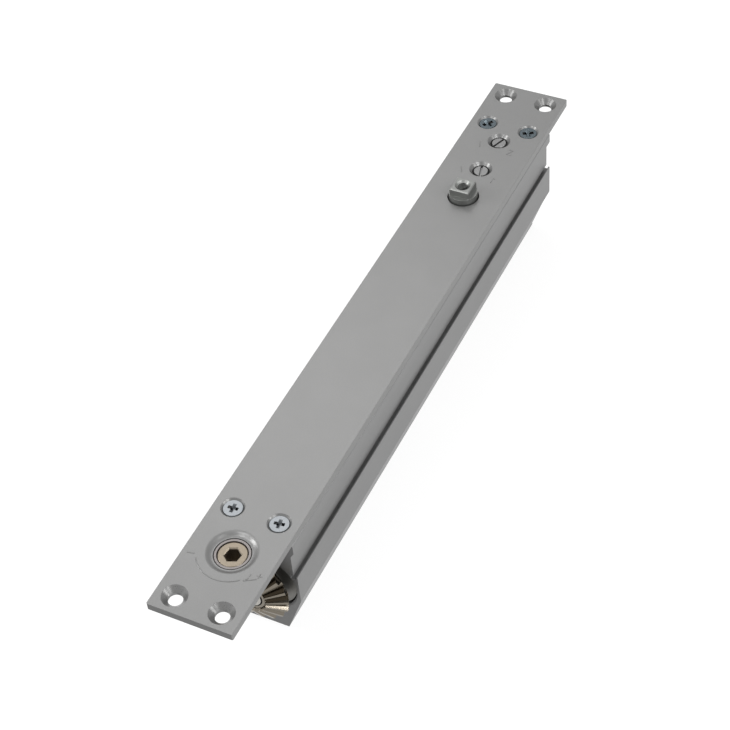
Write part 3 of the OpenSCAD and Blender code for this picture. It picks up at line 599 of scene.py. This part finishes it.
def screw_pair(name, node, rise, turns, arm, slot, depth):
    """A pair of screws in the place of a CAD node, with heads that stand higher by a rise in metres.

    Turns are in degrees, and the recess's arm, slot width and depth in millimetres.
    """
    low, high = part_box(node)
    head_r = (high.x - low.x) / 2
    spread = high.y - head_r
    x = (high.x + low.x) / 2
    places = bpy.data.meshes.new(name + "_places")
    places.from_pydata([(x, -spread, high.z + rise), (x, spread, high.z + rise)], [], [])
    turn = places.attributes.new("turn", "FLOAT", "POINT")
    for index, angle in enumerate(turns):
        turn.data[index].value = math.radians(angle)
    pair = grow(
        name,
        screw_tree,
        places,
        finishes[slot_of[node]],
        Head_radius=head_r * mm - head_gap,
        Rim=rise * mm + rim_sunk,
        Shank_radius=shank_radius,
        Length=(high.z + rise - low.z) * mm,
        Arm=arm,
        Slot=slot,
        Depth=depth,
    )
    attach(pair, "housing")
    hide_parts(node)


screw_pair(
    "cross_screws_near", "plate_screws_near", rise=0.0004, turns=(8, 3), arm=3.8, slot=1.25, depth=1.7
)
screw_pair(
    "cross_screws_far", "plate_screws_far", rise=0.0002, turns=(28, 52), arm=4.6, slot=1.6, depth=1.2
)

# %% [markdown]
# ## Stamped marks
#
# The plate carries fine raised marks: an arc with an arrow round the hex, a minus and a plus that say
# which way the spring gets weaker or stronger, and small marks beside the valves. Every mark is a line, so
# one tree does them all: it sweeps a round section along each line and presses it flat.

# %% Ridge tree
ridge_tree, ridge = new_tree("ridge", ("Half width", "Height"))
lines = add(ridge_tree, "GeometryNodeMeshToCurve", {"Mesh": ridge["Places"]})
round_section = add(
    ridge_tree, "GeometryNodeCurvePrimitiveCircle", {"Resolution": 10, "Radius": ridge["Half width"]}
)
swept = add(
    ridge_tree,
    "GeometryNodeCurveToMesh",
    {"Curve": lines.outputs[0], "Profile Curve": round_section.outputs[0], "Fill Caps": True},
)
flatter = maths(ridge_tree, "DIVIDE", ridge["Height"], ridge["Half width"])
press = add(ridge_tree, "ShaderNodeCombineXYZ", {0: 1.0, 1: 1.0, 2: flatter}).outputs[0]
pressed = add(ridge_tree, "GeometryNodeTransform", {"Geometry": swept.outputs[0], "Scale": press})
end_tree(ridge_tree, ridge, pressed.outputs[0])


def stroke_mesh(name, strokes):
    """A mesh of lines in the plate's face. Strokes are lists of places in millimetres."""
    points = []
    edges = []
    for stroke in strokes:
        edges += [(len(points) + i, len(points) + i + 1) for i in range(len(stroke) - 1)]
        points += [(x / mm, y / mm, 0.0) for x, y in stroke]
    mesh = bpy.data.meshes.new(name)
    mesh.from_pydata(points, edges, [])
    return mesh


def arc(centre, radius, start, stop, steps=40):
    """Points of an arc in millimetres, between two angles in degrees."""
    turns = [math.radians(start + (stop - start) * i / steps) for i in range(steps + 1)]
    return [(centre.x * mm + radius * math.cos(t), centre.y * mm + radius * math.sin(t)) for t in turns]


print("ridge tree:", len(ridge_tree.nodes), "nodes")

# %% Marks round the hex and beside the valves
hex_place = middle("adjuster_bush")
closing_place = middle("closing_valve")
latching_place = middle("latching_valve")


def beside(place, *points):
    """Points given from a place, in millimetres, as points on the plate."""
    return [(place.x * mm + x, place.y * mm + y) for x, y in points]


strokes = [
    arc(hex_place, radius=12.2, start=124, stop=221),
    beside(hex_place, (-9.1, -9.1), (-6.85, -12.85)),
    beside(hex_place, (-9.1, -9.1), (-7.5, -10.1), (-5.6, -10.3)),
    beside(hex_place, (-5.85, 14.0), (-5.35, 11.4)),
    beside(hex_place, (-5.4, -12.2), (-5.3, -14.2)),
    beside(hex_place, (-6.35, -13.2), (-4.35, -13.2)),
    beside(closing_place, (-1.5, 7.9), (-4.5, 6.5)),
    beside(latching_place, (-2.9, 7.1), (-6.1, 5.9)),
    beside(closing_place, (-6.4, -7.0), (-3.4, -7.0), (-4.1, -7.8)),
    beside(latching_place, (-4.0, -6.1), (-3.4, -6.9), (-4.1, -7.8), (-6.6, -6.1), (-6.6, -8.1)),
]
marks = grow(
    "stamped_marks",
    ridge_tree,
    stroke_mesh("mark_lines", strokes),
    finishes["plate_silver"],
    Half_width=0.0002,
    Height=0.00014,
)
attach(marks, "housing")

# %% [markdown]
# ## The spindle's thread
#
# The arm is held by a screw in the spindle's tapped hole. A CAD hole is a plain cylinder, so the thread is
# grown here: a spiral with a three-sided section that follows the hole's wall.

# %% Thread
thread_tree, thread = new_tree("thread", ("Radius", "Turns", "Height", "Tooth"))
spiral = add(
    thread_tree,
    "GeometryNodeCurveSpiral",
    {
        "Resolution": 32,
        "Rotations": thread["Turns"],
        "Start Radius": thread["Radius"],
        "End Radius": thread["Radius"],
        "Height": thread["Height"],
    },
)
tooth = add(thread_tree, "GeometryNodeCurvePrimitiveCircle", {"Resolution": 3, "Radius": thread["Tooth"]})
turned_thread = add(
    thread_tree,
    "GeometryNodeCurveToMesh",
    {"Curve": spiral.outputs[0], "Profile Curve": tooth.outputs[0], "Fill Caps": True},
)
set_thread = add(
    thread_tree,
    "GeometryNodeInstanceOnPoints",
    {"Points": thread["Places"], "Instance": turned_thread.outputs[0]},
)
end_tree(thread_tree, thread, set_thread.outputs[0])

spindle_x = middle("upper_bearing").x
thread_length = 0.0096
hole_lead_in = 0.0008
thread_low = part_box("cam_spindle")[1].z - hole_lead_in - thread_length
start_point = bpy.data.meshes.new("thread_start")
start_point.from_pydata([(spindle_x, 0.0, thread_low)], [], [])
screw_thread = grow(
    "spindle_thread",
    thread_tree,
    start_point,
    finishes["spindle_steel"],
    Radius=0.00222,
    Turns=12.0,
    Height=thread_length,
    Tooth=0.00032,
)
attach(screw_thread, "spindle")

# %% [markdown]
# ## Soft edges at the hex
#
# The hex and the collar of its bush catch the most light on the part. A copy of each CAD mesh is merged,
# and its rim is drawn in a little, so that a dark groove shows on both sides of the collar. Both tops are
# raised, a Bevel modifier rounds the collar, and the edges of the hex's mouth are cut back to a lead-in
# for the key.


# %% Collar
def merged_copy(node, name):
    """A copy of a CAD node's mesh, with its doubles merged."""
    mesh = frame["nodes"][node].data.copy()
    return keep_mesh(name, mesh)


def draw_in(piece, centre, least, most, above, radius):
    """Moves the points between two radii and above a height to one radius."""
    for vertex in piece.data.vertices:
        spoke = Vector((vertex.co.x - centre.x, vertex.co.y - centre.y))
        if least < spoke.length < most and vertex.co.z > above:
            spoke = spoke.normalized() * radius
            vertex.co = (centre.x + spoke.x, centre.y + spoke.y, vertex.co.z)


def raise_top(piece, above, rise):
    """Raises the points above a height."""
    for vertex in piece.data.vertices:
        if vertex.co.z > above:
            vertex.co.z += rise


collar = merged_copy("adjuster_bush", "collar_bush")
collar_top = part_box("adjuster_bush")[1].z
draw_in(collar, hex_place, least=0.0062, most=0.0070, above=collar_top - 0.0017, radius=0.0063)
raise_top(collar, above=collar_top - 0.0004, rise=0.00035)
soften = collar.modifiers.new("soften", "BEVEL")
soften.width = 0.0003
soften.segments = 3
soften.limit_method = "ANGLE"
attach(collar, "housing")
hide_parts("adjuster_bush")

# %% Hex with a lead-in
hex_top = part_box("adjuster_pinion")[1].z
hex_seat = merged_copy("adjuster_pinion", "hex_pinion")
draw_in(hex_seat, hex_place, least=0.0048, most=0.0056, above=hex_top - 0.00005, radius=0.0049)

mouth_reach = 0.0031
mouth_low = hex_top - 0.00002
flat_enough = 0.01
steep = 1.0
lead_in = 0.00042
work = bmesh.new()
work.from_mesh(hex_seat.data)
bmesh.ops.dissolve_limit(work, angle_limit=flat_enough, verts=work.verts, edges=work.edges)


def at_mouth(vertex):
    """Whether a point lies on the socket's rim."""
    spoke = math.hypot(vertex.co.x - hex_place.x, vertex.co.y)
    return vertex.co.z > mouth_low and spoke < mouth_reach


mouth = []
for edge in work.edges:
    on_rim = all(at_mouth(vertex) for vertex in edge.verts)
    if on_rim and edge.is_manifold and edge.calc_face_angle() > steep:
        mouth.append(edge)
bmesh.ops.bevel(work, geom=mouth, offset=lead_in, segments=1, affect="EDGES", clamp_overlap=True)
work.to_mesh(hex_seat.data)
work.free()
raise_top(hex_seat, above=hex_top - 0.0006, rise=0.0005)
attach(hex_seat, "adjuster")
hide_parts("adjuster_pinion")
print("edges of the hex's mouth:", len(mouth))

# %% [markdown]
# ## Dark gaps at the near end
#
# Two fine black arcs show at the near end: round the closing plug and round the shaft's end in the gear. A
# CAD fit is too tight to show one, so copies of the plug and the shaft are a little smaller at their open
# ends.

# %% Narrower ends
end_reach = 0.0025
wall_band = 0.0004
axis_z = middle("bevel_gear").z


def narrow_end(node, name, body, wall, radius, finish):
    """A merged copy of a node on the bore's axis, whose wall is drawn in to a radius near its -X end."""
    piece = merged_copy(node, name)
    inner_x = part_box(node)[0].x + end_reach
    for vertex in piece.data.vertices:
        spoke = Vector((vertex.co.y, vertex.co.z - axis_z))
        if vertex.co.x < inner_x and abs(spoke.length - wall) < wall_band:
            spoke = spoke.normalized() * radius
            vertex.co = (vertex.co.x, spoke.x, axis_z + spoke.y)
    piece.data.materials[0] = finishes[finish]
    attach(piece, body)
    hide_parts(node)


plug_low, plug_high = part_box("near_end_plug")
plug_radius = (plug_high.y - plug_low.y) / 2
shaft_radius = 0.0054
narrow_end(
    "near_end_plug",
    "closing_plug",
    "housing",
    wall=plug_radius,
    radius=0.0140,
    finish="plug_aluminium",
)
narrow_end(
    "adjusting_screw",
    "adjusting_shaft",
    "gear_shaft",
    wall=shaft_radius,
    radius=0.0049,
    finish="shaft_steel",
)

# %% [markdown]
# ## Main spring
#
# The spring stands between the nut and the spring piston, and each of them shortens it from its own end.
# It is cut at its middle, and each half is closed at the cut and kept as a piece on the housing.

# %% Spring halves
spring_low, spring_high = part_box("main_spring")
spring_middle = (spring_low + spring_high) / 2


def spring_half(name, side):
    """Half of the spring, to one side of its middle and closed at the cut."""
    piece = merged_copy("main_spring", name)
    work = bmesh.new()
    work.from_mesh(piece.data)
    everything = list(work.verts) + list(work.edges) + list(work.faces)
    bmesh.ops.bisect_plane(
        work,
        geom=everything,
        plane_co=spring_middle,
        plane_no=(-side, 0, 0),
        clear_outer=True,
    )
    open_edges = [edge for edge in work.edges if edge.is_boundary]
    bmesh.ops.holes_fill(work, edges=open_edges)
    bmesh.ops.recalc_face_normals(work, faces=work.faces)
    work.to_mesh(piece.data)
    work.free()
    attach(piece, "housing")
    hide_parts("main_spring")
    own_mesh(piece)


spring_half("spring_nut_side", -1)
spring_half("spring_piston_side", 1)

# %% [markdown]
# ## Valve screws
#
# A valve screw's slotted head ends just below its countersink, with a dark crescent of shadow on its near
# side. The copies here raise the head by a millimetre and a half and narrow it a little to leave that
# shadow.

# %% Valve heads
head_rise = 0.0015
head_share = 0.92
head_depth = 0.00105


def valve_head(node, name, body):
    """A merged copy of a valve screw whose head is a little higher and narrower."""
    piece = merged_copy(node, name)
    centre = middle(node)
    head_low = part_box(node)[1].z - head_depth
    for vertex in piece.data.vertices:
        if vertex.co.z > head_low:
            vertex.co.z += head_rise
            vertex.co.x = centre.x + (vertex.co.x - centre.x) * head_share
            vertex.co.y = centre.y + (vertex.co.y - centre.y) * head_share
    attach(piece, body)
    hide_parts(node)


valve_head("closing_valve", "closing_valve_screw", "closing_valve_screw")
valve_head("latching_valve", "latching_valve_screw", "latching_valve_screw")
